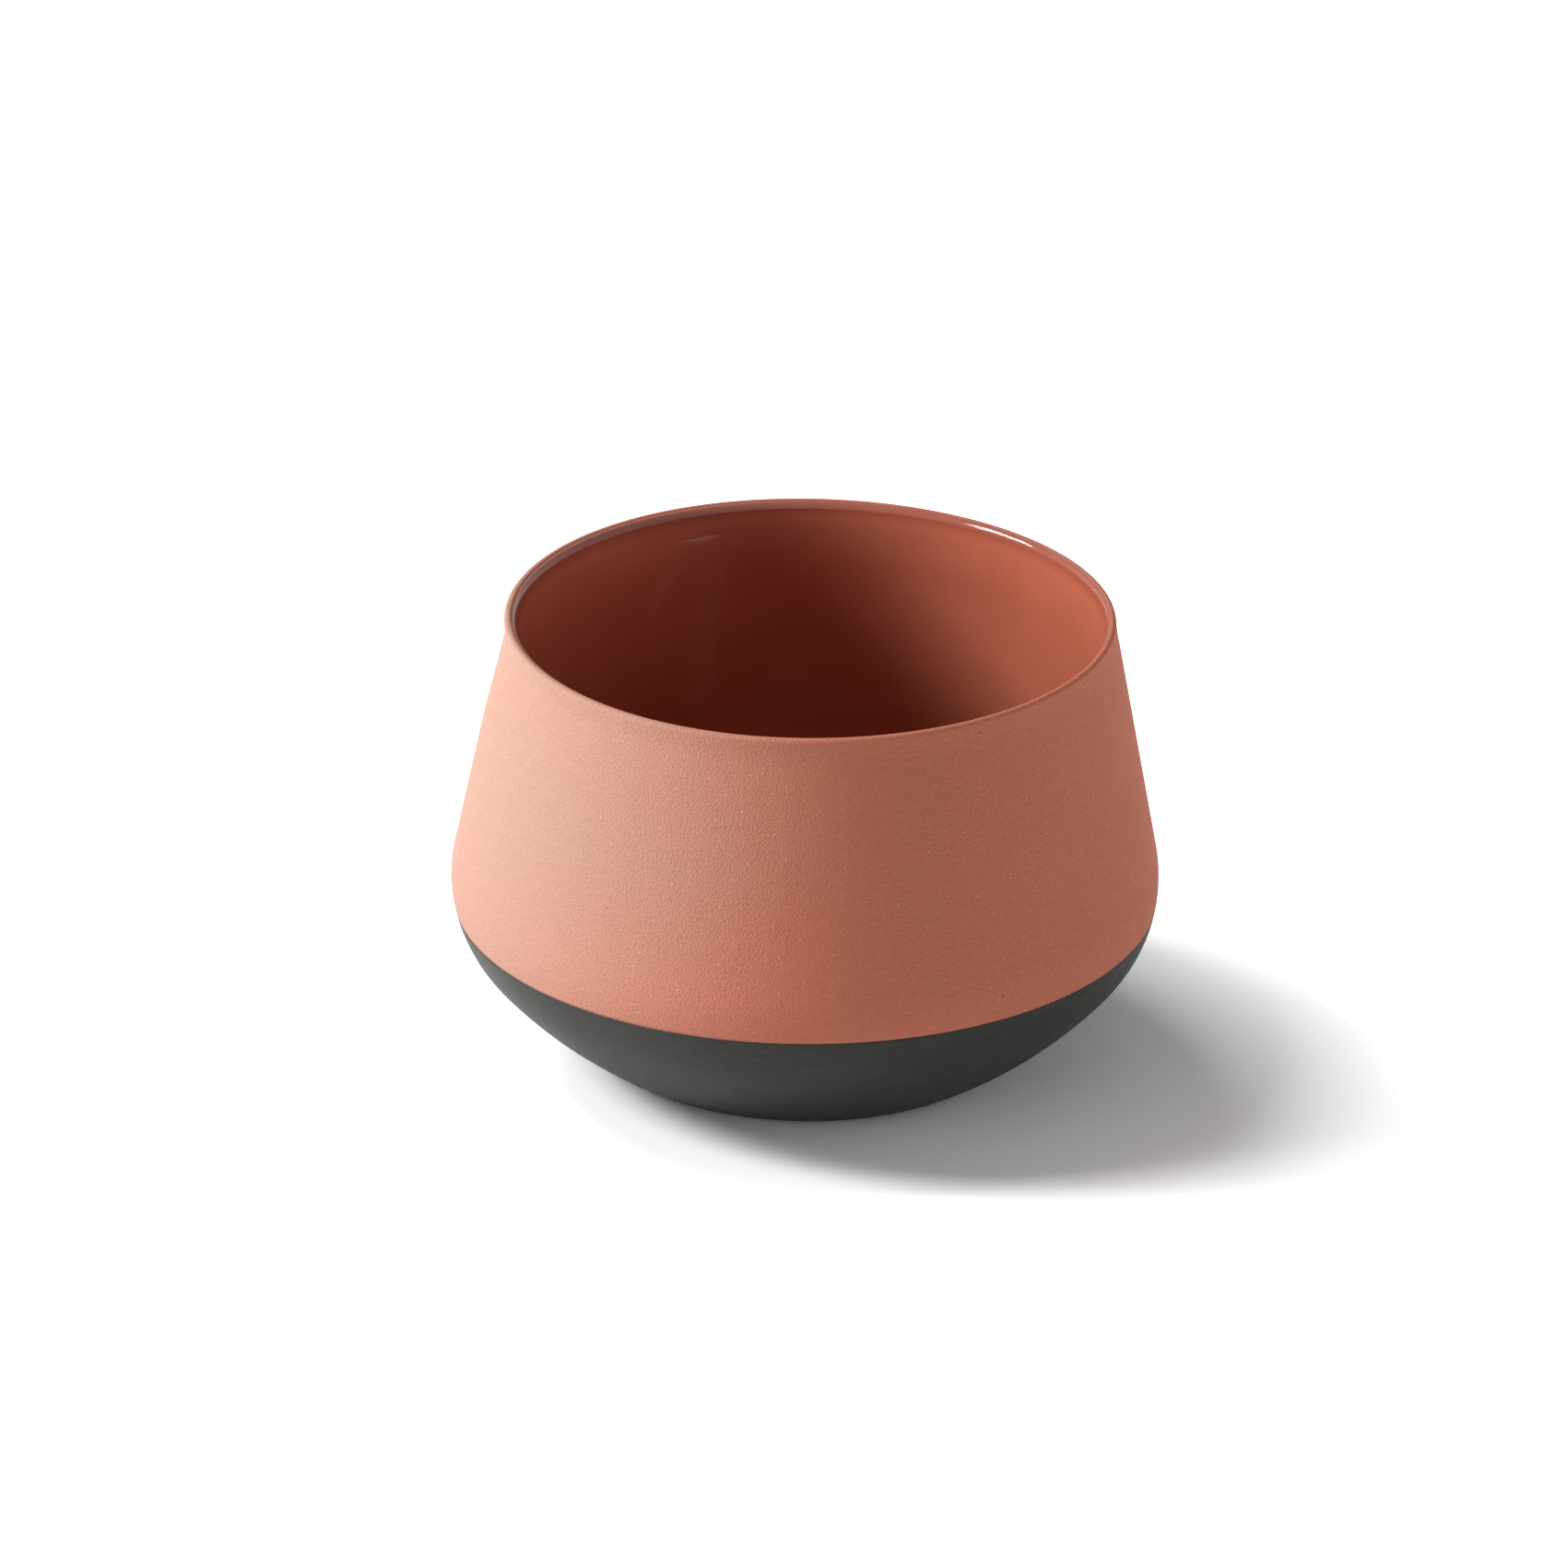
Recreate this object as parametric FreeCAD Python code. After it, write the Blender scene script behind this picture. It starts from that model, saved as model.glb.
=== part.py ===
import FreeCAD, Part
import math
import os

# A low, wide drinking cup with no handle, slip cast in two clays and glazed inside only.
# A dark slate clay is cast first, up to a level line just under the widest place. A
# terracotta clay is cast over it and on up to the lip, so the wall is two bonded layers
# below the line and one above it, and the mould face runs flush across the joint.
# Lengths are in millimetres and angles in degrees. A slope is the angle that the wall
# rises at from the table, so it is 90 where the wall is upright and more where it leans
# in. +Z is up, and the origin is the centre of the foot, where it stands on the table.

# The mould's face, which gives the outside of the cup
height = 64.7
belly_radius = 50.0
belly_curve_radius = 17.2
foot_radius = 28.4
foot_corner_radius = 3.7
foot_angle = 31.7
belly_angle = 49.3
wall_lean_angle = 11.2

# The recess under the foot, which leaves a flat ring to stand on
foot_ring_width = 5.6
foot_recess_depth = 1.0

# The dark clay, with its top edge where the slip stood level, just under the belly
colour_line_drop = 3.1
slate_thickness = 1.2
slate_corner_radius = 6.0
slate_edge_radius = 0.7

# The terracotta clay, whose thickness is that of the whole wall
wall_thickness = 2.5
floor_thickness = 2.6
inside_corner_radius = 15.0

# The lip, turned a little more upright than the wall and sponged round, with a smaller
# radius at its outer edge than on its inner side. The crest is where the two meet.
lip_thickness = 1.55
lip_edge_radius = 0.65
lip_crest_angle = 118.0
lip_lean_angle = 4.5
lip_turn_height = 3.6
lip_thinning_height = 9.0

# The clear glaze inside, which thins over the inner side of the lip to a fine edge
glaze_thickness = 0.2
glaze_thinning_height = 0.3
glaze_stop_angle = 54.0

level_angle = 0.0
upright_angle = 90.0
full_turn_angle = 360.0


def place(r, z):
    """The point at radius r and height z in the section plane."""
    return FreeCAD.Vector(r, 0, z)


def facing(slope):
    """The outward direction, square to a wall that rises at this slope from the table."""
    angle = math.radians(slope)
    return place(math.sin(angle), -math.cos(angle))


def rising(slope):
    """The direction up along a wall that rises at this slope."""
    angle = math.radians(slope)
    return place(math.cos(angle), math.sin(angle))


def line(start, end):
    return Part.LineSegment(start, end).toShape()


def round_run(centre, radius, slope_from, slope_to):
    """An arc about a centre, from the place where it has one slope to another."""
    ends = [centre + facing(s) * radius for s in (slope_from, slope_to)]
    middle = centre + facing((slope_from + slope_to) / 2) * radius
    return Part.Arc(ends[0], middle, ends[1]).toShape()


def leaving_arc(start, direction, end):
    """An arc from start to end that leaves start in the given direction."""
    chord = end - start
    side = FreeCAD.Vector(0, 1, 0).cross(direction)
    reach = chord.dot(chord) / (2 * chord.dot(side))
    centre = start + side * reach
    half_way = (start + end) / 2 - centre
    middle = centre + half_way * (abs(reach) / half_way.Length)
    return Part.Arc(start, middle, end).toShape()


def turned(edges):
    """The solid that a closed outline sweeps in one turn about the cup's axis."""
    outline = Part.Wire(Part.__sortEdges__(edges))
    section = Part.Face(outline)
    axis = FreeCAD.Vector(0, 0, 1)
    return section.revolve(FreeCAD.Vector(0, 0, 0), axis, full_turn_angle)


# Centres of the three arcs that run into each other from the foot to the belly
wall_slope = upright_angle + wall_lean_angle
corner_centre = place(foot_radius, foot_corner_radius)
corner_end = corner_centre + facing(foot_angle) * foot_corner_radius
belly_centre_r = belly_radius - belly_curve_radius
belly_start_r = belly_centre_r + (facing(belly_angle) * belly_curve_radius).x
lower_run = belly_start_r - corner_end.x
lower_radius = lower_run / (facing(belly_angle).x - facing(foot_angle).x)
lower_centre = corner_end - facing(foot_angle) * lower_radius
belly_start = lower_centre + facing(belly_angle) * lower_radius
belly_centre = belly_start - facing(belly_angle) * belly_curve_radius
belly_end = belly_centre + facing(wall_slope) * belly_curve_radius

# The colour line, as the slope that the belly has that far under its widest place
line_slope = math.degrees(math.acos(colour_line_drop / belly_curve_radius))

# The lip's outer edge, which starts level with the end of the turned wall
lip_slope = upright_angle + lip_lean_angle
lip_edge_centre_z = height - lip_edge_radius
lip_outer_z = lip_edge_centre_z + (facing(lip_slope) * lip_edge_radius).z
turn_start_z = lip_outer_z - lip_turn_height
turn_start_r = belly_end.x - (turn_start_z - belly_end.z) * math.tan(math.radians(wall_lean_angle))
turn_start = place(turn_start_r, turn_start_z)
turn_radius = lip_turn_height / (facing(wall_slope).z - facing(lip_slope).z)
turn_centre = turn_start + facing(wall_slope) * turn_radius
lip_outer = turn_centre - facing(lip_slope) * turn_radius
lip_edge_centre = lip_outer - facing(lip_slope) * lip_edge_radius

# The lip's inner side, an arc that runs on from the edge at the crest
crest_slope = lip_slope + lip_crest_angle
crest_share = math.cos(math.radians(lip_crest_angle))
lip_inside_width = lip_thickness - lip_edge_radius * (1 - crest_share)
lip_inside_radius = lip_inside_width / (1 + crest_share)
lip_inside_centre = lip_edge_centre + facing(crest_slope) * (lip_edge_radius - lip_inside_radius)
lip_inside_slope = lip_slope + 2 * upright_angle
glaze_stop_slope = lip_inside_slope - glaze_stop_angle


def bowl_inside(depth, floor_height, corner_radius, last_slope):
    """A line that follows the mould's face at a depth inside it: a level floor, a round
    corner, the long lower curve and the belly, up to the slope where it ends."""
    curve = lower_radius - depth
    centre_z = floor_height + corner_radius
    rise = centre_z - lower_centre.z
    reach = math.sqrt((curve - corner_radius) ** 2 - rise**2)
    centre = place(lower_centre.x + reach, centre_z)
    meeting_slope = math.degrees(math.atan2(reach, -rise))
    edges = [
        line(place(0, floor_height), place(centre.x, floor_height)),
        round_run(centre, corner_radius, level_angle, meeting_slope),
        round_run(lower_centre, curve, meeting_slope, belly_angle),
        round_run(belly_centre, belly_curve_radius - depth, belly_angle, last_slope),
    ]
    return edges


def wall_inside(depth, top):
    """The line on up the straight wall, then eased to the lip's own thickness at top."""
    low = belly_end - facing(wall_slope) * depth
    thinning = lip_thinning_height / rising(wall_slope).z
    up_to = turn_start + rising(wall_slope) * (lip_turn_height - thinning)
    high = up_to - facing(wall_slope) * depth
    return [line(low, high), leaving_arc(high, rising(wall_slope), top)]


# The face that the two clays share: up inside the slate, round its top edge and out
slate_floor = foot_recess_depth + slate_thickness
slate_curve = belly_curve_radius - slate_thickness
edge_turn = math.degrees(math.asin(slate_edge_radius / (slate_curve + slate_edge_radius)))
edge_slope = line_slope - edge_turn
edge_centre = belly_centre + facing(edge_slope) * (slate_curve + slate_edge_radius)
edge_low = belly_centre + facing(edge_slope) * slate_curve
edge_reach = (edge_centre - belly_centre).dot(facing(line_slope))
edge_high = belly_centre + facing(line_slope) * edge_reach
sharp_edge = belly_centre + facing(line_slope) * slate_curve
edge_side = sharp_edge - edge_centre
edge_middle = edge_centre + edge_side * (slate_edge_radius / edge_side.Length)
colour_line = belly_centre + facing(line_slope) * belly_curve_radius
clay_joint = bowl_inside(slate_thickness, slate_floor, slate_corner_radius, edge_slope)
clay_joint.append(Part.Arc(edge_low, edge_middle, edge_high).toShape())
clay_joint.append(line(edge_high, colour_line))

# The clay face inside the cup, up to where the glaze stops on the lip
cup_floor = foot_recess_depth + floor_thickness
lip_inside = lip_inside_centre + facing(lip_inside_slope) * lip_inside_radius
clay_inside = bowl_inside(wall_thickness, cup_floor, inside_corner_radius, wall_slope)
clay_inside += wall_inside(wall_thickness, lip_inside)
clay_inside.append(
    round_run(lip_inside_centre, lip_inside_radius, glaze_stop_slope, lip_inside_slope)
)

# The glazed face inside the cup, which meets the clay again where the glaze stops
glaze_floor = cup_floor + glaze_thickness
glaze_corner = inside_corner_radius - glaze_thickness
glaze_depth = wall_thickness + glaze_thickness
glaze_stop = lip_inside_centre + facing(glaze_stop_slope) * lip_inside_radius
glaze_thinning = rising(lip_slope) * glaze_thinning_height
glaze_turn = lip_inside + facing(lip_inside_slope) * glaze_thickness - glaze_thinning
glaze_face = bowl_inside(glaze_depth, glaze_floor, glaze_corner, wall_slope)
glaze_face += wall_inside(glaze_depth, glaze_turn)
glaze_face.append(leaving_arc(glaze_turn, rising(lip_slope), glaze_stop))


def slate_base_shell():
    """The dark outer shell: foot ring, recess and lower bowl, up to the colour line."""
    recess_edge = foot_radius - foot_ring_width
    recess_flat = recess_edge - foot_recess_depth
    recess_round = place(recess_flat, 0) + rising(upright_angle / 2) * foot_recess_depth
    ring = place(recess_edge, 0)
    recess = place(recess_flat, foot_recess_depth)
    outline = [
        line(place(0, foot_recess_depth), recess),
        Part.Arc(recess, recess_round, ring).toShape(),
        line(ring, place(foot_radius, 0)),
        round_run(corner_centre, foot_corner_radius, level_angle, foot_angle),
        round_run(lower_centre, lower_radius, foot_angle, belly_angle),
        round_run(belly_centre, belly_curve_radius, belly_angle, line_slope),
        line(place(0, foot_recess_depth), place(0, slate_floor)),
    ]
    return turned(outline + clay_joint)


def terracotta_body():
    """The terracotta layer inside the slate, and the whole wall and lip above it."""
    outline = [
        round_run(belly_centre, belly_curve_radius, line_slope, wall_slope),
        line(belly_end, turn_start),
        leaving_arc(turn_start, rising(wall_slope), lip_outer),
        round_run(lip_edge_centre, lip_edge_radius, lip_slope, crest_slope),
        round_run(lip_inside_centre, lip_inside_radius, crest_slope, glaze_stop_slope),
        line(place(0, slate_floor), place(0, cup_floor)),
    ]
    return turned(outline + clay_joint + clay_inside)


def clear_glaze_lining():
    """The clear glaze skin on the inside, from the floor to its fine edge on the lip."""
    outline = [line(place(0, cup_floor), place(0, glaze_floor))]
    return turned(outline + clay_inside + glaze_face)


os.makedirs("parts", exist_ok=True)
for piece in (slate_base_shell, terracotta_body, clear_glaze_lining):
    solid = piece()
    solid.exportStep("parts/" + piece.__name__ + ".step")
    box = solid.optimalBoundingBox()
    size = [round(v, 2) for v in (box.XLength, box.YLength, box.ZMin, box.ZMax)]
    print(piece.__name__, solid.isValid(), len(solid.Solids), round(solid.Volume), size)
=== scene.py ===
import bpy
import math
import numpy as np
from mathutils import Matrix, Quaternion, Vector


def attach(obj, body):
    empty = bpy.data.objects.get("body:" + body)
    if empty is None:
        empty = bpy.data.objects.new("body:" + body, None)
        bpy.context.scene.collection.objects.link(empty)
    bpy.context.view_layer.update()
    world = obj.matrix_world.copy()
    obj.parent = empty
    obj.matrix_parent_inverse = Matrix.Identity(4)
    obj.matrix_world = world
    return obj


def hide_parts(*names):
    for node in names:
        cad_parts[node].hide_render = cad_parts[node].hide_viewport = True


# A low, wide drinking cup with no handle, slip cast in two clays and glazed inside only.
# Lengths are in metres here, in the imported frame: the foot stands on z = 0, and the cup is
# turned about the z axis. The sections follow the cup as it is made: the dark clay that is
# poured first, the terracotta clay over it and the glaze inside. The camera, the table and
# the light come last.

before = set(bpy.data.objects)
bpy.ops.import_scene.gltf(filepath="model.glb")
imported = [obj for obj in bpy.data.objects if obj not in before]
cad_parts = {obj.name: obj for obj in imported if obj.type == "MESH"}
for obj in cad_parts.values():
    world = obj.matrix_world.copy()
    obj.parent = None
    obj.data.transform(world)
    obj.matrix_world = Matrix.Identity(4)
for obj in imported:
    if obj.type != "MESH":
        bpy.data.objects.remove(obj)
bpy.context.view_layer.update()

# The dark clay. Slate slip is poured into a plaster mould up to a level just under the
# widest place and poured out again, which leaves a thin shell: the foot and lower bowl.
# Its outside is the plaster's face, and the terracotta is cast straight onto its inside.

MM = 0.001

# The mould's face, and the recess under the foot
HEIGHT = 64.7 * MM
BELLY_HEIGHT = 25.0 * MM
BELLY_RADIUS = 50.0 * MM
BELLY_CURVE = 17.2 * MM
FOOT_RADIUS = 28.4 * MM
FOOT_CORNER = 3.7 * MM
FOOT_ANGLE = 31.7
BELLY_ANGLE = 49.3
WALL_LEAN = 11.2
FOOT_RING_WIDTH = 5.6 * MM
FOOT_RECESS = 1.0 * MM

# The slate shell, with its round top edge inside the wall
COLOUR_LINE_DROP = 3.1 * MM
SLATE_THICKNESS = 1.2 * MM
SLATE_CORNER = 6.0 * MM
SLATE_EDGE = 0.7 * MM
ROUND_STEPS = 288

# How far the fired cup is out of true
RIM_SHIFT = 0.59 * MM
FOOT_SHIFT = 0.385 * MM
TILT = -0.196 * MM
TIP = -0.113 * MM
LIP_WAVE = 0.158 * MM
LIP_WAVE_TURN = math.radians(75.65)
LIP_WAVE_REACH = 8.0 * MM
WAVE_TOP = 0.277 * MM
WAIST_DEPTH = 0.38 * MM
WAIST_START = 46.0 * MM
WAIST_DEEPEST = 61.0 * MM
WAIST_RETURN = 1.3
INNER_SHIFT = 0.15 * MM
INNER_SHARE_WIDTH = 1.5 * MM

# The slate's colours and finish
SLATE_COLOUR = (0.0205, 0.0215, 0.019)
SLATE_PALE = (0.030, 0.031, 0.0275)
SLATE_SPECK = (0.30, 0.31, 0.28)
SLATE_SPECKLE = 0.16
SLATE_GLINT_SHARE = 0.25
SLATE_SPOT_SHARE = 0.8
SLATE_SPECULAR = 0.25
SLATE_ROUGHNESS = (0.58, 0.66)
SLATE_RELIEF = 0.06 * MM

# The grain of both clays: scales per metre, radii as shares of a cell, and how the bump is
# made up. The middle of a noise is the span that most of its values lie in.
MIDDLE = (0.3, 0.7)
GRAIN_SPAN = (0.2, 0.8)
GRAIN_SCALE = 3800.0
STREAK_SCALE = 260.0
STREAK_SQUASH = 7.0
CLOUD_SCALE = 45.0
SPOT_SCALE = 160.0
SPOT_RADIUS = 0.024
GLINT_SCALE = 420.0
GLINT_RADIUS = 0.05
SPOT_FADE = (1.0, 0.6)
STREAK_RISE = 0.6
SPOT_DEPTH = 1.2


def facing(slope):
    """Unit (r, z) square to a wall that rises at slope degrees: (sin slope, -cos slope)."""
    angle = np.radians(slope)
    return np.stack([np.sin(angle), -np.cos(angle)], axis=-1)


def rising(slope):
    """Unit (r, z) up along a wall that rises at slope degrees: (cos slope, sin slope)."""
    angle = np.radians(slope)
    return np.stack([np.cos(angle), np.sin(angle)], axis=-1)


def arc(centre, radius, slope_from, slope_to, steps):
    """Points of a round run: centre + radius * facing(slope), slope going evenly."""
    return centre + radius * facing(np.linspace(slope_from, slope_to, steps + 1))


def straight(start, end, steps):
    """Points of a straight run: start + t * (end - start), t going evenly from 0 to 1."""
    t = np.linspace(0, 1, steps + 1)[:, None]
    return np.asarray(start) + t * (np.asarray(end) - np.asarray(start))


def eased(start, slope, end, steps):
    """Points of the arc that leaves start at a slope and reaches end. Its centre is at
    start + s * side, where s = chord . chord / (2 chord . side) and side is square to it."""
    start, end = np.asarray(start), np.asarray(end)
    side = -facing(slope)
    chord = end - start
    reach = chord @ chord / (2 * chord @ side)
    centre = start + side * reach
    first, last = start - centre, end - centre
    angles = [math.atan2(v[1], v[0]) for v in (first, last)]
    sweep = (angles[1] - angles[0] + math.pi) % (2 * math.pi) - math.pi
    turn = np.linspace(0, sweep, steps + 1)
    across, up = first, np.array([-first[1], first[0]])
    return centre + np.outer(np.cos(turn), across) + np.outer(np.sin(turn), up)


def bowl_inside(depth, floor, corner, last_slope):
    """The line at a depth inside the mould's face: floor, corner, lower curve and belly."""
    curve = LOWER_CURVE - depth
    rise = floor + corner - LOWER_CENTRE[1]
    reach = math.sqrt((curve - corner) ** 2 - rise**2)
    centre = np.array([LOWER_CENTRE[0] + reach, floor + corner])
    meeting = math.degrees(math.atan2(reach, -rise))
    return np.concatenate([
        straight((0, floor), (centre[0], floor), steps=12)[:-1],
        arc(centre, corner, 0, meeting, steps=8)[:-1],
        arc(LOWER_CENTRE, curve, meeting, BELLY_ANGLE, steps=10)[:-1],
        arc(BELLY_CENTRE, BELLY_CURVE - depth, BELLY_ANGLE, last_slope, steps=12),
    ])


WALL_ANGLE = 90 + WALL_LEAN
CORNER_CENTRE = np.array([FOOT_RADIUS, FOOT_CORNER])
CORNER_END = CORNER_CENTRE + FOOT_CORNER * facing(FOOT_ANGLE)
BELLY_START_R = BELLY_RADIUS - BELLY_CURVE + BELLY_CURVE * facing(BELLY_ANGLE)[0]
LOWER_CURVE = (BELLY_START_R - CORNER_END[0]) / (facing(BELLY_ANGLE) - facing(FOOT_ANGLE))[0]
LOWER_CENTRE = CORNER_END - LOWER_CURVE * facing(FOOT_ANGLE)
BELLY_CENTRE = LOWER_CENTRE + (LOWER_CURVE - BELLY_CURVE) * facing(BELLY_ANGLE)
BELLY_END = BELLY_CENTRE + BELLY_CURVE * facing(WALL_ANGLE)
LINE_ANGLE = math.degrees(math.acos(COLOUR_LINE_DROP / BELLY_CURVE))

SLATE_CURVE = BELLY_CURVE - SLATE_THICKNESS
EDGE_TURN = math.degrees(math.asin(SLATE_EDGE / (SLATE_CURVE + SLATE_EDGE)))
EDGE_ANGLE = LINE_ANGLE - EDGE_TURN
EDGE_CENTRE = BELLY_CENTRE + (SLATE_CURVE + SLATE_EDGE) * facing(EDGE_ANGLE)
SLATE_FLOOR = FOOT_RECESS + SLATE_THICKNESS
COLOUR_LINE = BELLY_CENTRE + BELLY_CURVE * facing(LINE_ANGLE)
CLAY_JOINT = np.concatenate([
    bowl_inside(SLATE_THICKNESS, SLATE_FLOOR, SLATE_CORNER, EDGE_ANGLE)[:-1],
    arc(EDGE_CENTRE, SLATE_EDGE, EDGE_ANGLE + 180, LINE_ANGLE + 90, steps=6),
    [COLOUR_LINE],
])
RECESS_FLAT = FOOT_RADIUS - FOOT_RING_WIDTH - FOOT_RECESS
SLATE_OUTLINE = np.concatenate([
    straight((0, FOOT_RECESS), (RECESS_FLAT, FOOT_RECESS), steps=8)[:-1],
    arc(np.array([RECESS_FLAT, 0]), FOOT_RECESS, 180, 90, steps=6)[:-1],
    straight((RECESS_FLAT + FOOT_RECESS, 0), (FOOT_RADIUS, 0), steps=4)[:-1],
    arc(CORNER_CENTRE, FOOT_CORNER, 0, FOOT_ANGLE, steps=10)[:-1],
    arc(LOWER_CENTRE, LOWER_CURVE, FOOT_ANGLE, BELLY_ANGLE, steps=24)[:-1],
    arc(BELLY_CENTRE, BELLY_CURVE, BELLY_ANGLE, LINE_ANGLE, steps=16)[:-1],
    CLAY_JOINT[::-1],
])


def ramp(value, low, high):
    """A smooth step t * t * (3 - 2 t), where t is how far value is from low to high."""
    t = np.clip((value - low) / (high - low), 0, 1)
    return t * t * (3 - 2 * t)


def out_of_true(points):
    """The small ways in which the fired cup is off round. The rim and the foot stand to the
    right of the belly, by a shift that grows evenly with the height from it. The lip is
    raised by TILT cos a + TIP sin a + LIP_WAVE cos(2 a + LIP_WAVE_TURN) - WAVE_TOP at the
    angle a round the cup. On the left the wall has a shallow waist under the lip, and the
    inside of the lip lies off centre."""
    x, y, z = points.T
    radius = np.hypot(x, y)
    around = np.arctan2(y, x)
    above = np.clip((z - BELLY_HEIGHT) / (HEIGHT - BELLY_HEIGHT), 0, 1)
    below = np.clip((BELLY_HEIGHT - z) / BELLY_HEIGHT, 0, 1)
    lip_share = np.clip((z - HEIGHT) / LIP_WAVE_REACH + 1, 0, 1) ** 2
    wave = TILT * np.cos(around) + TIP * np.sin(around)
    wave += LIP_WAVE * np.cos(2 * around + LIP_WAVE_TURN)
    waist = ramp(z, WAIST_START, WAIST_DEEPEST) - WAIST_RETURN * ramp(z, WAIST_DEEPEST, HEIGHT)
    left_share = (1 - np.cos(around)) / 2
    wall_radius = BELLY_END[0] - (z - BELLY_END[1]) * math.tan(math.radians(WALL_LEAN))
    inner_share = np.clip((wall_radius - radius) / INNER_SHARE_WIDTH, 0, 1)
    inner_share *= ramp(z, WAIST_START, HEIGHT)
    scale = 1 - WAIST_DEPTH * waist * left_share / np.maximum(radius, BELLY_CURVE)
    x = x * scale + RIM_SHIFT * above + FOOT_SHIFT * below + INNER_SHIFT * inner_share
    return np.stack([x, y * scale, z + lip_share * (wave - WAVE_TOP)], axis=-1)


def turned(name, outline, material, node):
    """A closed piece turned about z: x = r cos a, y = r sin a, for the outline's (r, z),
    which runs from the axis round the section and back to it, and even steps of a."""
    angle = np.arange(ROUND_STEPS) * (2 * math.pi / ROUND_STEPS)
    r, z = outline[1:-1, :1], outline[1:-1, 1:]
    rounds = np.broadcast_arrays(r * np.cos(angle), r * np.sin(angle), z)
    rows = np.stack(rounds, axis=-1).reshape(-1, 3)
    points = np.concatenate([rows, [[0, 0, outline[0, 1]], [0, 0, outline[-1, 1]]]])
    here = np.arange(len(rows)).reshape(-1, ROUND_STEPS)
    beside = np.roll(here, -1, axis=1)
    quads = np.stack([here[:-1], beside[:-1], beside[1:], here[1:]], axis=-1).reshape(-1, 4)
    first, last = np.full(ROUND_STEPS, len(rows)), np.full(ROUND_STEPS, len(rows) + 1)
    start_fan = np.stack([first, beside[0], here[0]], axis=-1)
    end_fan = np.stack([last, here[-1], beside[-1]], axis=-1)
    faces = quads.tolist() + start_fan.tolist() + end_fan.tolist()
    mesh = bpy.data.meshes.new(name)
    mesh.from_pydata(out_of_true(points).tolist(), [], faces)
    mesh.polygons.foreach_set("use_smooth", np.ones(len(mesh.polygons), dtype=bool))
    mesh.materials.append(material)
    mesh.update()
    piece = bpy.data.objects.new(name, mesh)
    bpy.context.scene.collection.objects.link(piece)
    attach(piece, "root")
    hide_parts(node)
    return piece


def new_group(name, inputs, outputs):
    """An empty shader group of floats, with inputs as name: value and outputs as names."""
    tree = bpy.data.node_groups.new(name, "ShaderNodeTree")
    sockets = tree.interface
    for label, value in inputs.items():
        socket = sockets.new_socket(label, in_out="INPUT", socket_type="NodeSocketFloat")
        socket.default_value = value
    for label in outputs:
        sockets.new_socket(label, in_out="OUTPUT", socket_type="NodeSocketFloat")
    return tree, tree.nodes.new("NodeGroupInput"), tree.nodes.new("NodeGroupOutput")


def put(tree, kind, *feeds, **settings):
    """Adds a node: settings go to its properties, feeds are (socket, value or output)."""
    node = tree.nodes.new(kind)
    for key, value in settings.items():
        setattr(node, key, value)
    for socket, value in feeds:
        if isinstance(value, bpy.types.NodeSocket):
            tree.links.new(value, node.inputs[socket])
        else:
            node.inputs[socket].default_value = value
    return node


def maths(tree, operation, *values):
    """A Math node on its inputs in order, such as a * b + c for MULTIPLY_ADD."""
    return put(tree, "ShaderNodeMath", *enumerate(values), operation=operation).outputs[0]


def object_place(tree):
    """The point on the piece, in metres."""
    return put(tree, "ShaderNodeTexCoord").outputs["Object"]


def noise(tree, place, scale, detail, roughness=0.5):
    """A smooth random value about 0.5, with scale bumps to the metre."""
    feeds = (("Vector", place), ("Scale", scale), ("Detail", detail), ("Roughness", roughness))
    return put(tree, "ShaderNodeTexNoise", *feeds).outputs["Fac"]


def spread(tree, value, low, high, new_low=0.0, new_high=1.0, ease="LINEAR"):
    """Maps value from low..high to new_low..new_high, held at the ends."""
    old = (("Value", value), ("From Min", low), ("From Max", high))
    new = (("To Min", new_low), ("To Max", new_high))
    node = put(tree, "ShaderNodeMapRange", *old, *new, interpolation_type=ease)
    return node.outputs["Result"]


def blend(tree, share, first, second):
    """The first colour mixed towards the second by share."""
    node = put(tree, "ShaderNodeMix", (0, share), data_type="RGBA")
    for socket, value in ((6, first), (7, second)):
        if isinstance(value, bpy.types.NodeSocket):
            tree.links.new(value, node.inputs[socket])
        else:
            node.inputs[socket].default_value = (*value, 1)
    return node.outputs[2]


def speckled(tree, colour, grain, depth):
    """The colour times 1 - depth to 1 + depth, as the grain goes over GRAIN_SPAN."""
    value = spread(tree, grain, *GRAIN_SPAN, 1 - depth, 1 + depth)
    node = put(tree, "ShaderNodeHueSaturation", ("Color", colour), ("Value", value))
    return node.outputs["Color"]


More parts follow.
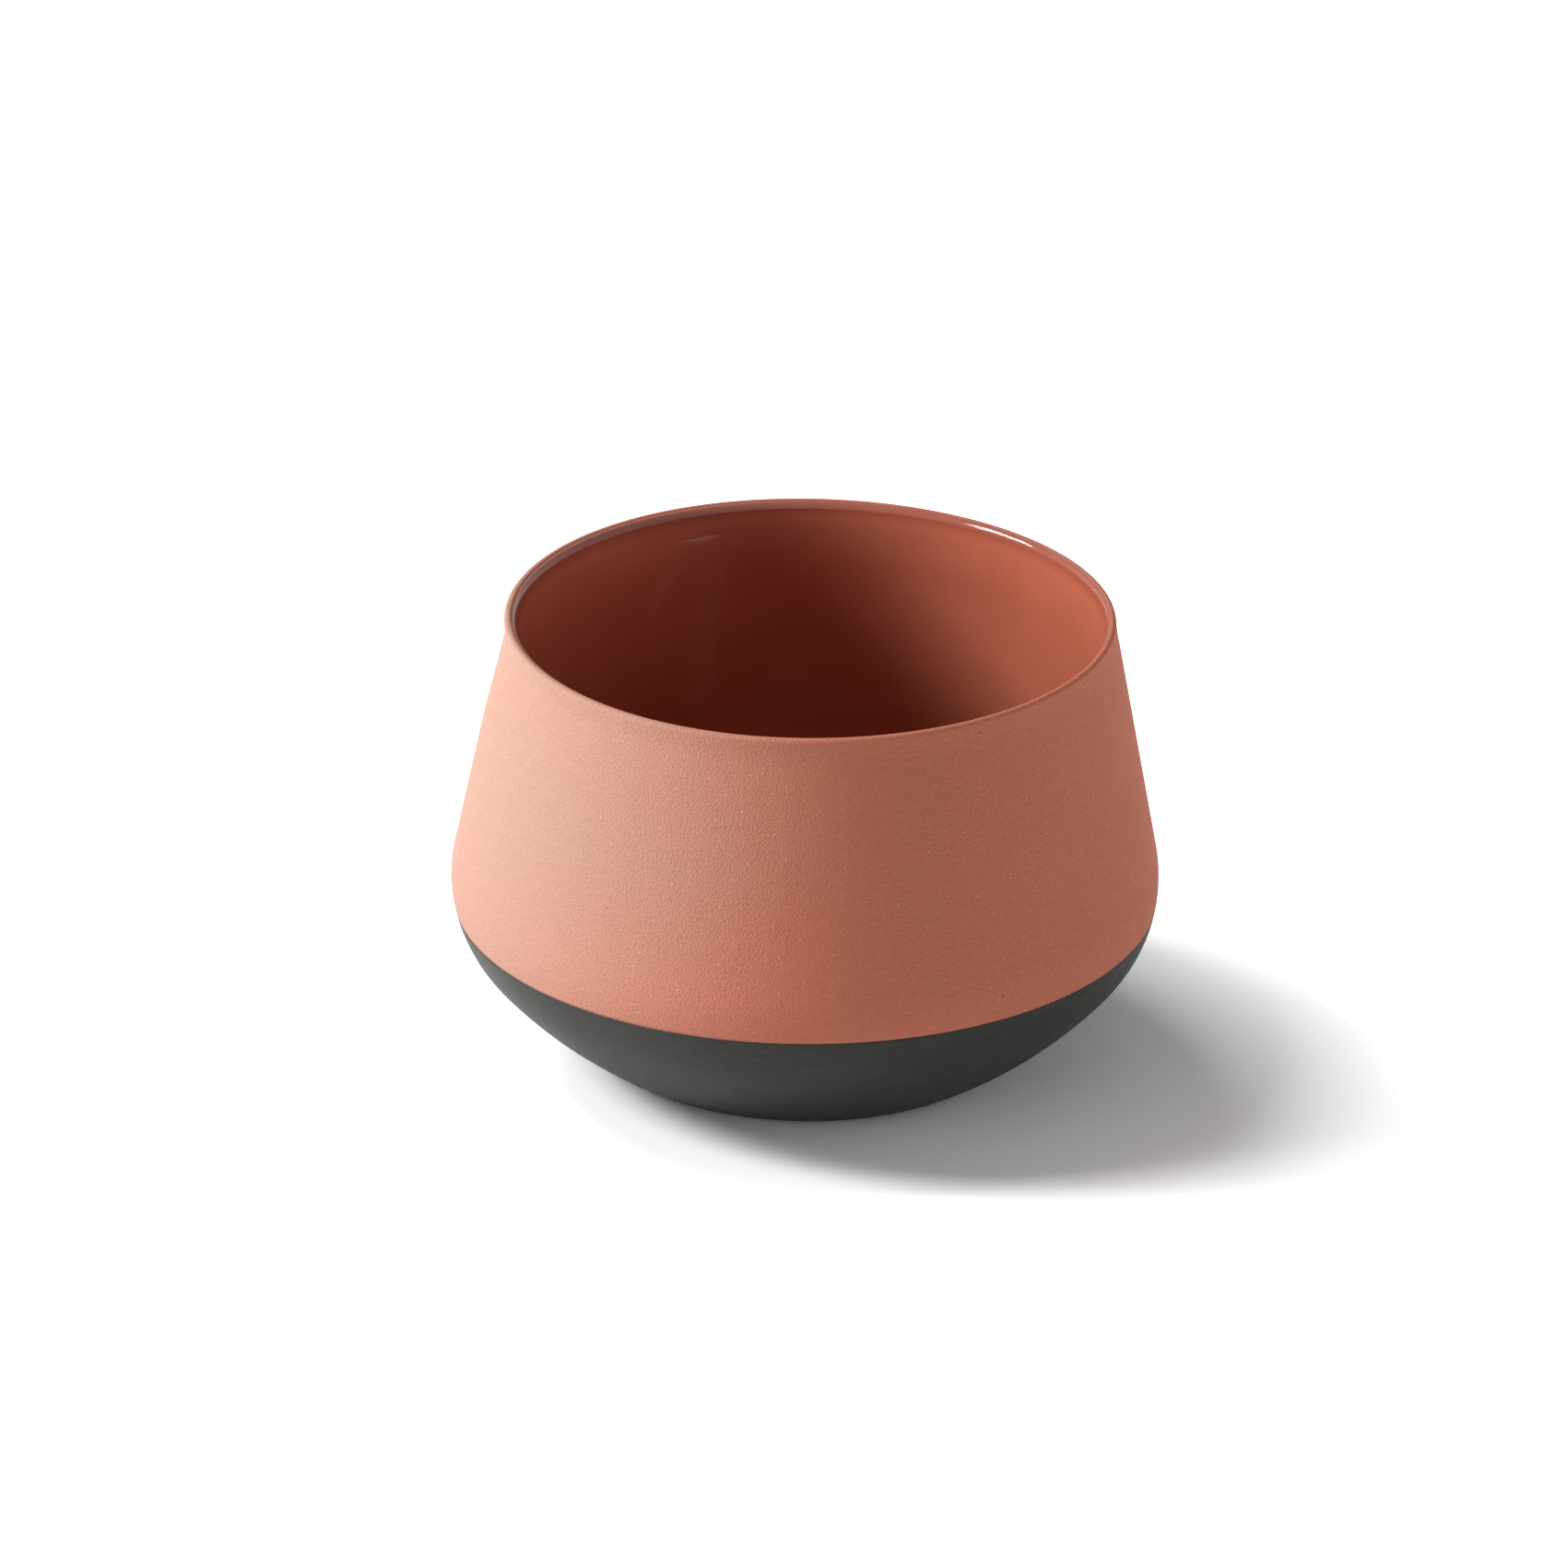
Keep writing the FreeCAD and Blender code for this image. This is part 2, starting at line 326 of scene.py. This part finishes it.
def clay_grain_group():
    """Fired slip up close. Grain is a fine noise of the object's place, about a quarter of a
    millimetre across. Streaks is noise squashed along z into level marks of the plaster
    mould, and Clouds is a slow noise. Spots and Glints are 1 within a small radius of
    scattered points in space. Height, for the bump, is grain plus streaks less the spots."""
    inputs = {
        "Grain Scale": GRAIN_SCALE,
        "Spot Scale": SPOT_SCALE,
        "Spot Radius": SPOT_RADIUS,
        "Glint Scale": GLINT_SCALE,
        "Glint Radius": GLINT_RADIUS,
    }
    outputs = ("Grain", "Streaks", "Clouds", "Spots", "Glints", "Height")
    tree, given, result = new_group("clay_grain", inputs, outputs)
    place = object_place(tree)
    squash = (("Vector", place), ("Scale", (1, 1, STREAK_SQUASH)))
    level = put(tree, "ShaderNodeMapping", *squash).outputs["Vector"]
    grain_scale = given.outputs["Grain Scale"]
    found = {
        "Grain": noise(tree, place, grain_scale, detail=1.0, roughness=0.6),
        "Streaks": noise(tree, level, STREAK_SCALE, detail=3.0, roughness=0.6),
        "Clouds": noise(tree, place, CLOUD_SCALE, detail=3.0),
    }
    for label, kind in (("Spots", "Spot"), ("Glints", "Glint")):
        feeds = (("Vector", place), ("Scale", given.outputs[kind + " Scale"]))
        away = put(tree, "ShaderNodeTexVoronoi", *feeds).outputs["Distance"]
        near = maths(tree, "DIVIDE", away, given.outputs[kind + " Radius"])
        found[label] = spread(tree, near, *SPOT_FADE)
    rise = maths(tree, "MULTIPLY_ADD", found["Streaks"], STREAK_RISE, found["Grain"])
    found["Height"] = maths(tree, "MULTIPLY_ADD", found["Spots"], -SPOT_DEPTH, rise)
    for label, value in found.items():
        tree.links.new(value, result.inputs[label])
    return tree


clay_grain = clay_grain_group()


def new_material(name, specular):
    """A material, its nodes and its Principled shader, with one specular level all over."""
    material = bpy.data.materials.new(name)
    material.use_nodes = True
    shader = material.node_tree.nodes["Principled BSDF"]
    shader.inputs["Specular IOR Level"].default_value = specular
    return material, material.node_tree, shader


def finish(tree, shader, colour, roughness, relief, height):
    """Links the colour and roughness, and a bump whose height from 0 to 1 is relief."""
    feeds = (("Strength", 1.0), ("Distance", relief), ("Height", height))
    normal = put(tree, "ShaderNodeBump", *feeds).outputs["Normal"]
    for label, value in (("Base Color", colour), ("Roughness", roughness), ("Normal", normal)):
        tree.links.new(value, shader.inputs[label])


slate_clay, tree, shader = new_material("slate_clay", SLATE_SPECULAR)
grain = put(tree, "ShaderNodeGroup", node_tree=clay_grain).outputs
colour = blend(tree, spread(tree, grain["Streaks"], *MIDDLE), SLATE_COLOUR, SLATE_PALE)
colour = speckled(tree, colour, grain["Grain"], SLATE_SPECKLE)
glints = maths(tree, "MULTIPLY", grain["Glints"], SLATE_GLINT_SHARE)
colour = blend(tree, glints, colour, SLATE_SPECK)
spots = maths(tree, "MULTIPLY", grain["Spots"], SLATE_SPOT_SHARE)
colour = blend(tree, spots, colour, SLATE_SPECK)
roughness = spread(tree, grain["Clouds"], *MIDDLE, *SLATE_ROUGHNESS)
finish(tree, shader, colour, roughness, SLATE_RELIEF, grain["Height"])
slate_bowl = turned(
    "slate_bowl", SLATE_OUTLINE, slate_clay, "slate_base_shell"
)

# The terracotta clay. It is cast over the slate and on up to the top of the mould, then
# trimmed and sponged at the lip while it is leather hard, and left bare outside.

WALL_THICKNESS = 2.5 * MM
FLOOR_THICKNESS = 2.6 * MM
INSIDE_CORNER = 15.0 * MM
LIP_THICKNESS = 1.55 * MM
LIP_EDGE = 0.65 * MM
LIP_CREST = 118.0
LIP_LEAN = 4.5
LIP_TURN_HEIGHT = 3.6 * MM
LIP_THINNING = 9.0 * MM
GLAZE_STOP = 54.0

# The terracotta's colours and finish. The left side is painted paler, as painted light where
# the left lamps fall strongest; it reaches less far right near the colour line. The lip's inner
# side is soaked darker.
TERRACOTTA_COLOUR = (0.57, 0.186, 0.116)
TERRACOTTA_LIT_PAINT = (0.455, 0.270, 0.208)
TERRACOTTA_SOAKED = (0.40, 0.130, 0.085)
TERRACOTTA_DARK = (0.47, 0.160, 0.100)
TERRACOTTA_GLINT = (0.85, 0.62, 0.48)
TERRACOTTA_SPOT = (0.16, 0.050, 0.035)
TERRACOTTA_SPECKLE = 0.115
TERRACOTTA_STREAK_SHARE = 0.10
TERRACOTTA_STREAK_SPAN = (0.5, 0.25)
TERRACOTTA_GLINT_SHARE = 0.5
TERRACOTTA_GLINT_SCALE = 700.0
TERRACOTTA_GLINT_RADIUS = 0.09
TERRACOTTA_SPOT_SHARE = 0.75
TERRACOTTA_SPECULAR = 0.12
TERRACOTTA_ROUGHNESS = (0.71, 0.79)
TERRACOTTA_RELIEF = 0.135 * MM
LIT_PAINT_NONE = 2.0 * MM
LIT_PAINT_FULL = -44.0 * MM
LIT_PAINT_SLANT = 0.25
LIT_PAINT_WANDER = 8.0 * MM
LIT_PAINT_LOW_FROM = 45.0 * MM
LIT_PAINT_LOW_TO = 15.0 * MM
LIT_PAINT_LOW_SHIFT = 18.0 * MM
SOAKED_OUTSIDE = 0.05 * MM
SOAKED_INSIDE = 0.25 * MM

LIP_ANGLE = 90 + LIP_LEAN
TURN_START_Z = HEIGHT - LIP_EDGE + LIP_EDGE * facing(LIP_ANGLE)[1] - LIP_TURN_HEIGHT
TURN_IN = (TURN_START_Z - BELLY_END[1]) * math.tan(math.radians(WALL_LEAN))
TURN_START = np.array([BELLY_END[0] - TURN_IN, TURN_START_Z])
TURN_CURVE = LIP_TURN_HEIGHT / (facing(WALL_ANGLE) - facing(LIP_ANGLE))[1]
LIP_OUTER = TURN_START + TURN_CURVE * (facing(WALL_ANGLE) - facing(LIP_ANGLE))
LIP_EDGE_CENTRE = LIP_OUTER - LIP_EDGE * facing(LIP_ANGLE)
CREST_ANGLE = LIP_ANGLE + LIP_CREST
CREST_SHARE = math.cos(math.radians(LIP_CREST))
LIP_CURVE = (LIP_THICKNESS - LIP_EDGE * (1 - CREST_SHARE)) / (1 + CREST_SHARE)
LIP_CENTRE = LIP_EDGE_CENTRE + (LIP_EDGE - LIP_CURVE) * facing(CREST_ANGLE)
LIP_INSIDE = LIP_CENTRE + LIP_CURVE * facing(LIP_ANGLE + 180)
STOP_ANGLE = LIP_ANGLE + 180 - GLAZE_STOP


def wall_inside(depth, top):
    """The line on up the straight wall, then eased to the lip's own thickness at top."""
    low = BELLY_END - depth * facing(WALL_ANGLE)
    back = LIP_THINNING / rising(WALL_ANGLE)[1] - LIP_TURN_HEIGHT
    high = TURN_START - rising(WALL_ANGLE) * back - depth * facing(WALL_ANGLE)
    return np.concatenate([
        straight(low, high, steps=24)[:-1],
        eased(high, WALL_ANGLE, top, steps=14),
    ])


CUP_FLOOR = FOOT_RECESS + FLOOR_THICKNESS
CLAY_INSIDE = np.concatenate([
    bowl_inside(WALL_THICKNESS, CUP_FLOOR, INSIDE_CORNER, WALL_ANGLE)[:-1],
    wall_inside(WALL_THICKNESS, LIP_INSIDE)[:-1],
    arc(LIP_CENTRE, LIP_CURVE, LIP_ANGLE + 180, STOP_ANGLE, steps=8),
])
BODY_OUTLINE = np.concatenate([
    CLAY_JOINT[:-1],
    arc(BELLY_CENTRE, BELLY_CURVE, LINE_ANGLE, WALL_ANGLE, steps=16)[:-1],
    straight(BELLY_END, TURN_START, steps=40)[:-1],
    eased(TURN_START, WALL_ANGLE, LIP_OUTER, steps=12)[:-1],
    arc(LIP_EDGE_CENTRE, LIP_EDGE, LIP_ANGLE, CREST_ANGLE, steps=14)[:-1],
    arc(LIP_CENTRE, LIP_CURVE, CREST_ANGLE, STOP_ANGLE, steps=4)[:-1],
    CLAY_INSIDE[::-1],
])


def parts_of(tree, place):
    """The X, Y and Z of a point, as outputs by name."""
    return put(tree, "ShaderNodeSeparateXYZ", ("Vector", place)).outputs


def painted_light_mask(tree, parts, clouds):
    """How much painted light there is: it grows from 0 to 1 as x + LIT_PAINT_SLANT y, plus a
    wander with the clouds and a shift near the colour line, goes from LIT_PAINT_NONE to
    LIT_PAINT_FULL."""
    wander = maths(tree, "MULTIPLY_ADD", clouds, LIT_PAINT_WANDER, parts["X"])
    front = maths(tree, "MULTIPLY_ADD", parts["Y"], LIT_PAINT_SLANT, wander)
    low = spread(tree, parts["Z"], LIT_PAINT_LOW_FROM, LIT_PAINT_LOW_TO, 0.0, LIT_PAINT_LOW_SHIFT)
    front = maths(tree, "ADD", front, low)
    return spread(tree, front, LIT_PAINT_NONE, LIT_PAINT_FULL, ease="SMOOTHSTEP")


def soaked_mask(tree, parts):
    """1 inside the lip's crest and 0 outside it, by the distance from the rim's own axis,
    which is the root of (x - RIM_SHIFT) squared plus y squared."""
    x = maths(tree, "SUBTRACT", parts["X"], RIM_SHIFT)
    squares = maths(tree, "MULTIPLY_ADD", x, x, maths(tree, "MULTIPLY", parts["Y"], parts["Y"]))
    from_axis = maths(tree, "SQRT", squares)
    crest = LIP_EDGE_CENTRE[0]
    return spread(tree, from_axis, crest + SOAKED_OUTSIDE, crest - SOAKED_INSIDE)


terracotta_clay, tree, shader = new_material("terracotta_clay", TERRACOTTA_SPECULAR)
finer = (
    ("Glint Scale", TERRACOTTA_GLINT_SCALE),
    ("Glint Radius", TERRACOTTA_GLINT_RADIUS),
)
grain = put(tree, "ShaderNodeGroup", *finer, node_tree=clay_grain).outputs
parts = parts_of(tree, object_place(tree))
painted_light = painted_light_mask(tree, parts, grain["Clouds"])
# Painted light: the terracotta is painted paler on the left, where the left lamps fall
# strongest
colour = blend(tree, painted_light, TERRACOTTA_COLOUR, TERRACOTTA_LIT_PAINT)
colour = speckled(tree, colour, grain["Grain"], TERRACOTTA_SPECKLE)
streaks = spread(tree, grain["Streaks"], *TERRACOTTA_STREAK_SPAN, 0.0, TERRACOTTA_STREAK_SHARE)
colour = blend(tree, streaks, colour, TERRACOTTA_DARK)
glints = maths(tree, "MULTIPLY", grain["Glints"], TERRACOTTA_GLINT_SHARE)
colour = blend(tree, glints, colour, TERRACOTTA_GLINT)
spots = maths(tree, "MULTIPLY", grain["Spots"], TERRACOTTA_SPOT_SHARE)
colour = blend(tree, spots, colour, TERRACOTTA_SPOT)
colour = blend(tree, soaked_mask(tree, parts), colour, TERRACOTTA_SOAKED)
roughness = spread(tree, grain["Clouds"], *MIDDLE, *TERRACOTTA_ROUGHNESS)
finish(tree, shader, colour, roughness, TERRACOTTA_RELIEF, grain["Height"])
terracotta_wall = turned(
    "terracotta_wall", BODY_OUTLINE, terracotta_clay, "terracotta_body"
)

# The glaze. A clear gloss glaze is poured in and out again, so it covers the inside and
# thins to a fine edge over the inner side of the lip. It deepens the terracotta's colour.

GLAZE_THICKNESS = 0.2 * MM
GLAZE_THINNING = 0.3 * MM

# The glazed clay's colours and finish. The colour is painted darker low in the bowl and lighter
# up the wall, as painted shade of the deep inside. At the edge on the lip it is painted darker
# again, a painted shade in place of a dark reflection, and the surface there has a fine ripple.
GLAZE_SHADED_LOW = (0.392, 0.124, 0.073)
GLAZE_LIT_HIGH = (0.475, 0.134, 0.079)
GLAZE_EDGE_SHADE = (0.36, 0.088, 0.050)
GLAZE_LIT_HEIGHTS = (30.0 * MM, 55.0 * MM)
GLAZE_EDGE_SHADE_HEIGHTS = (61.5 * MM, 63.3 * MM)
GLAZE_CLOUD_SCALE = 90.0
GLAZE_CLOUD_SPAN = (0.35, 0.65)
GLAZE_CLOUD_SHARE = 0.08
GLAZE_SPECULAR = 0.4
GLAZE_ROUGHNESS = (0.045, 0.075)
GLAZE_SHEEN_SCALE = 120.0
GLAZE_RELIEF = 0.06 * MM
GLAZE_WAVE_SCALE = 110.0
GLAZE_RIPPLE_SCALE = 2400.0
GLAZE_RIPPLE_HEIGHTS = (61.5 * MM, 63.8 * MM)
GLAZE_RIPPLE_SHARE = 0.12

GLAZE_DEPTH = WALL_THICKNESS + GLAZE_THICKNESS
GLAZE_FLOOR = CUP_FLOOR + GLAZE_THICKNESS
GLAZE_CORNER = INSIDE_CORNER - GLAZE_THICKNESS
GLAZE_TURN = LIP_INSIDE - GLAZE_THICKNESS * facing(LIP_ANGLE)
GLAZE_TURN -= GLAZE_THINNING * rising(LIP_ANGLE)
GLAZE_FACE = np.concatenate([
    bowl_inside(GLAZE_DEPTH, GLAZE_FLOOR, GLAZE_CORNER, WALL_ANGLE)[:-1],
    wall_inside(GLAZE_DEPTH, GLAZE_TURN)[:-1],
    eased(GLAZE_TURN, LIP_ANGLE, CLAY_INSIDE[-1], steps=8),
])
GLAZE_OUTLINE = np.concatenate([CLAY_INSIDE[:-1], GLAZE_FACE[::-1]])
clear_glaze, tree, shader = new_material("clear_glaze", GLAZE_SPECULAR)
place = object_place(tree)
rise = parts_of(tree, place)["Z"]
# Painted shade: the inside is darker low down and lighter towards the lip
lit_high = spread(tree, rise, *GLAZE_LIT_HEIGHTS)
colour = blend(tree, lit_high, GLAZE_SHADED_LOW, GLAZE_LIT_HIGH)
# Painted shade at the glaze's edge on the lip, in place of a dark reflection
colour = blend(tree, spread(tree, rise, *GLAZE_EDGE_SHADE_HEIGHTS), colour, GLAZE_EDGE_SHADE)
clouds = noise(tree, place, GLAZE_CLOUD_SCALE, detail=3.0)
clouds = spread(tree, clouds, *GLAZE_CLOUD_SPAN, 0.0, GLAZE_CLOUD_SHARE)
colour = blend(tree, clouds, colour, TERRACOTTA_SPOT)
sheen = noise(tree, place, GLAZE_SHEEN_SCALE, detail=2.0)
roughness = spread(tree, sheen, *MIDDLE, *GLAZE_ROUGHNESS)
waves = noise(tree, place, GLAZE_WAVE_SCALE, detail=1.0)
fine = noise(tree, place, GLAZE_RIPPLE_SCALE, detail=1.0)
ripple = maths(tree, "MULTIPLY", fine, spread(tree, rise, *GLAZE_RIPPLE_HEIGHTS))
height = maths(tree, "MULTIPLY_ADD", ripple, GLAZE_RIPPLE_SHARE, waves)
finish(tree, shader, colour, roughness, GLAZE_RELIEF, height)
glaze_lining = turned(
    "glaze_lining", GLAZE_OUTLINE, clear_glaze, "clear_glaze_lining"
)

# The camera. A long lens looks down from straight in front. It is aimed a little to the
# left of the cup and turned a touch about its own line of sight.

# The rise and roll are in radians, and the focal length is in pixels of the picture
CAMERA_RISE = 0.430
CAMERA_DISTANCE = 1501.5 * MM
CAMERA_PIVOT_HEIGHT = 33 * MM
CAMERA_ROLL = 0.005
LOOKS_AT = Vector((-3.08 * MM, 0, 38.48 * MM))
IMAGE_SIDE = 1701
FOCAL_PIXELS = 11546.7
SENSOR = 36.0
CLIP_START = 0.1
CLIP_END = 20.0

camera_data = bpy.data.cameras.new("camera")
camera_data.sensor_width = SENSOR
camera_data.lens = FOCAL_PIXELS * SENSOR / IMAGE_SIDE
camera_data.clip_start = CLIP_START
camera_data.clip_end = CLIP_END
camera = bpy.data.objects.new("camera", camera_data)
away = CAMERA_DISTANCE * math.cos(CAMERA_RISE)
above = CAMERA_DISTANCE * math.sin(CAMERA_RISE) + CAMERA_PIVOT_HEIGHT
camera.location = (0, -away, above)
aim = (LOOKS_AT - camera.location).to_track_quat("-Z", "Y")
camera.rotation_mode = "QUATERNION"
camera.rotation_quaternion = aim @ Quaternion((0, 0, 1), CAMERA_ROLL)
bpy.context.scene.collection.objects.link(camera)
bpy.context.scene.camera = camera

# The table. A plain pale sheet, which looks white where the lamps reach it and shows the
# cup's shadow. It is a touch cooler on the right, where the cup's warm light falls on it.
# From below it is clear, so that the foot can be seen.

FLOOR_SIZE = 6.0
FLOOR_COLOUR = (0.8, 0.8, 0.8)
FLOOR_ROUGHNESS = 0.85
FLOOR_SPECULAR = 0.5
FLOOR_SHOWN = (1.452, 1.456, 1.459)
FLOOR_FAR = (1.419, 1.468, 1.482)
FLOOR_FAR_SPAN = (47.0 * MM, 67.0 * MM)


def seen_rays(tree):
    """1 for the rays of the camera, of mirrors and of glass, which see the plain backdrop."""
    path = put(tree, "ShaderNodeLightPath").outputs
    seen = maths(tree, "MAXIMUM", path["Is Camera Ray"], path["Is Glossy Ray"])
    return maths(tree, "MAXIMUM", seen, path["Is Transmission Ray"])


def mixed(tree, share, first, second):
    """The first shader mixed towards the second by share."""
    feeds = ((0, share), (1, first), (2, second))
    return put(tree, "ShaderNodeMixShader", *feeds).outputs[0]


table_top, tree, shader = new_material("table_top", FLOOR_SPECULAR)
shader.inputs["Base Color"].default_value = (*FLOOR_COLOUR, 1)
shader.inputs["Roughness"].default_value = FLOOR_ROUGHNESS
far = spread(tree, parts_of(tree, object_place(tree))["X"], *FLOOR_FAR_SPAN)
tone = blend(tree, far, FLOOR_SHOWN, FLOOR_FAR)
shown = put(tree, "ShaderNodeBsdfDiffuse", ("Color", tone)).outputs[0]
upper = mixed(tree, seen_rays(tree), shader.outputs[0], shown)
clear = put(tree, "ShaderNodeBsdfTransparent").outputs[0]
backfacing = put(tree, "ShaderNodeNewGeometry").outputs["Backfacing"]
whole = mixed(tree, backfacing, upper, clear)
tree.links.new(whole, tree.nodes["Material Output"].inputs["Surface"])
half = FLOOR_SIZE / 2
corners = [(-half, -half, 0), (half, -half, 0), (half, half, 0), (-half, half, 0)]
floor_mesh = bpy.data.meshes.new("floor")
floor_mesh.from_pydata(corners, [], [(0, 1, 2, 3)])
floor_mesh.materials.append(table_top)
floor = bpy.data.objects.new("floor", floor_mesh)
bpy.context.scene.collection.objects.link(floor)

# The light. Soft lamps stand at the left and a wide fill at the right, in a plain white
# surround. The cup and the table have lamps of their own, because no one set gives both the
# cup's shading and the soft shadow beside it.

# Each lamp: name, degrees round from +x, degrees up, distance, width, height and watts
CUP_LAMPS = (
    ("cup_key", 178, 32, 1.1, 0.25, 0.25, 9.2),
    ("cup_key_front", 192, 35, 1.1, 0.25, 0.25, 5.15),
    ("cup_key_high", 184, 43, 1.1, 0.25, 0.25, 3.1),
    ("cup_right", -3, 16, 1.2, 1.6, 0.6, 4.3),
)
TABLE_LAMPS = (
    ("table_low", 178, 32, 1.1, 0.25, 0.25, 5.2),
    ("table_middle", 184, 43, 1.1, 0.25, 0.25, 4.2),
    ("table_high", 165, 66, 1.1, 0.25, 0.25, 3.5),
    ("table_left_back", 150, 50, 1.1, 0.25, 0.25, 2.4),
    ("table_back", 120, 44, 1.1, 0.45, 0.42, 4.3),
    ("table_right", -3, 16, 1.2, 1.6, 0.6, 3.6),
    ("table_left_front", 215, 14, 1.2, 0.8, 0.4, 1.75),
)
WORLD_LIGHT = 0.172
WORLD_SHOWN = 1.0
WHITE = (1, 1, 1, 1)


def lamp(lit, name, turn, rise, distance, width, height, power):
    """A flat lamp at distance, turn degrees round from +x and rise degrees up, facing the
    cup. It lights the objects of the collection lit, and every object shades it."""
    data = bpy.data.lights.new(name, "AREA")
    data.shape = "RECTANGLE"
    data.size = width
    data.size_y = height
    data.energy = power
    light = bpy.data.objects.new(name, data)
    turn, rise = math.radians(turn), math.radians(rise)
    level = math.cos(rise)
    toward = (level * math.cos(turn), level * math.sin(turn), math.sin(rise))
    light.location = Vector(toward) * distance
    light.rotation_mode = "QUATERNION"
    light.rotation_quaternion = (-light.location).to_track_quat("-Z", "Y")
    light.light_linking.receiver_collection = lit
    bpy.context.scene.collection.objects.link(light)


lit_groups = (
    ("lit_cup", (slate_bowl, terracotta_wall, glaze_lining), CUP_LAMPS),
    ("lit_table", (floor,), TABLE_LAMPS),
)
for name, pieces, lamps in lit_groups:
    lit = bpy.data.collections.new(name)
    for piece in pieces:
        lit.objects.link(piece)
    for values in lamps:
        lamp(lit, *values)

# The fill is wide, so its reflection in the glaze is left out
bpy.data.objects["cup_right"].visible_glossy = False

world = bpy.data.worlds.new("world")
bpy.context.scene.world = world
world.use_nodes = True
tree = world.node_tree
plain = tree.nodes["Background"]
plain.inputs["Color"].default_value = WHITE
plain.inputs["Strength"].default_value = WORLD_LIGHT
shown = put(tree, "ShaderNodeBackground", ("Color", WHITE), ("Strength", WORLD_SHOWN))
both = mixed(tree, seen_rays(tree), plain.outputs[0], shown.outputs[0])
tree.links.new(both, tree.nodes["World Output"].inputs["Surface"])
bpy.context.scene.view_settings.view_transform = "Standard"
bpy.context.view_layer.update()
